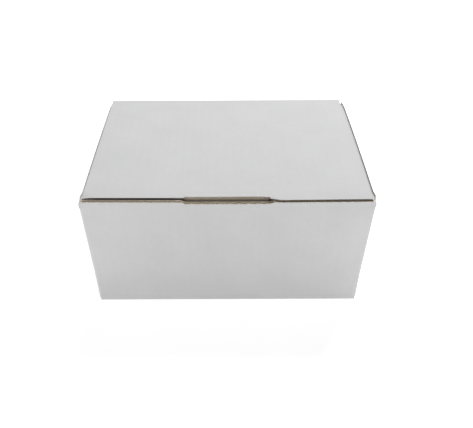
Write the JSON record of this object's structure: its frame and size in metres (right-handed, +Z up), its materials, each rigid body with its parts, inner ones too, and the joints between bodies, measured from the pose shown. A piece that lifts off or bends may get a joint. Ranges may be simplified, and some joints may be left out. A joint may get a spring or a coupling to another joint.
{
  "type": "corrugated mailer box",
  "caption": "Folded corrugated mailer box with rolled side walls and a hinged tuck-in lid with a finger slot.",
  "frame": {"origin": "centre of the underside of the closed box", "axes": "+X to the box's right, along its length and its hinge; +Y from the front wall to the hinge at the back; +Z up"},
  "size_m": [0.2, 0.14, 0.1],
  "materials": {
    "board": "matt white outer liner over brown kraft",
    "kraft": "bare brown kraft, as on the inside and at the raw edges"
  },
  "bodies": {
    "tray": {"tray": "board"},
    "lid": {"lid": "board"}
  },
  "joints": [
    {"name": "lid_hinge", "type": "hinge", "parent": "tray", "child": "lid", "pos_m": [0, 0.0685, 0.0985], "axis": [-1, 0, 0], "range_deg": [0, 180]}
  ]
}
